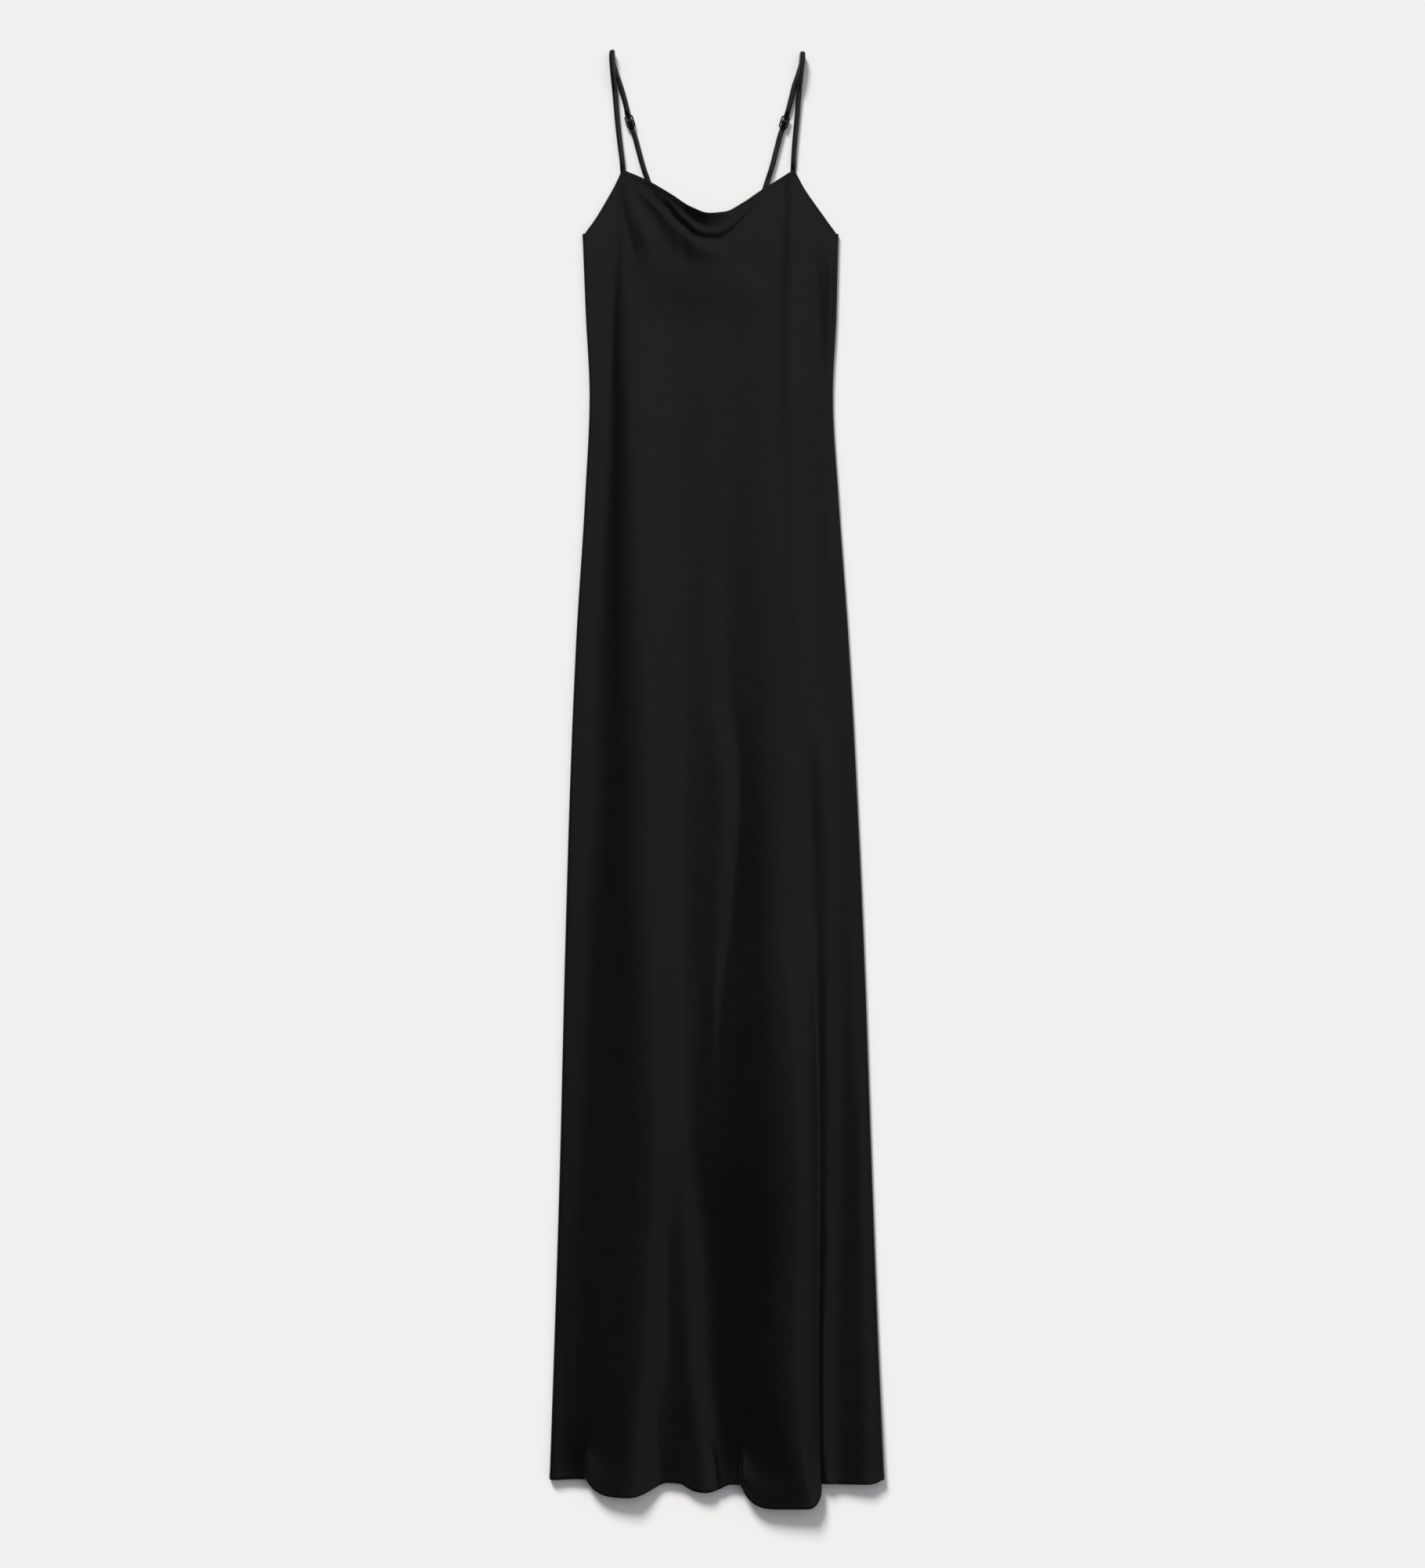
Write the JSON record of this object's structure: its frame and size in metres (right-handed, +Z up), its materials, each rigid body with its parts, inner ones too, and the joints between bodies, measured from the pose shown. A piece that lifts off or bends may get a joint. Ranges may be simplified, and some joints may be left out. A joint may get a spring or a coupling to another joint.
{
  "type": "slip dress",
  "caption": "Long black satin slip dress laid flat, with a soft cowl neckline, thin rouleau straps with metal sliders, turned-under sides and flutes that open towards the hem.",
  "frame": {"origin": "on the surface that the dress lies on, in the middle of its bounding box", "axes": "+Y along the dress towards the shoulder straps, +X across it to the right as it is seen from above with the straps at the top, +Z up from the surface"},
  "size_m": [0.3315, 1.441, 0.0159],
  "materials": {
    "front_panel": "satin",
    "back_panel": "satin",
    "strap_left": "satin",
    "strap_right": "satin",
    "slider_left": "dark bronze",
    "slider_right": "dark bronze"
  },
  "bodies": {
    "root": {"front_panel": "front_panel", "back_panel": "back_panel", "strap_left": "strap_left", "strap_right": "strap_right", "slider_left": "slider_left", "slider_right": "slider_right"}
  },
  "joints": []
}
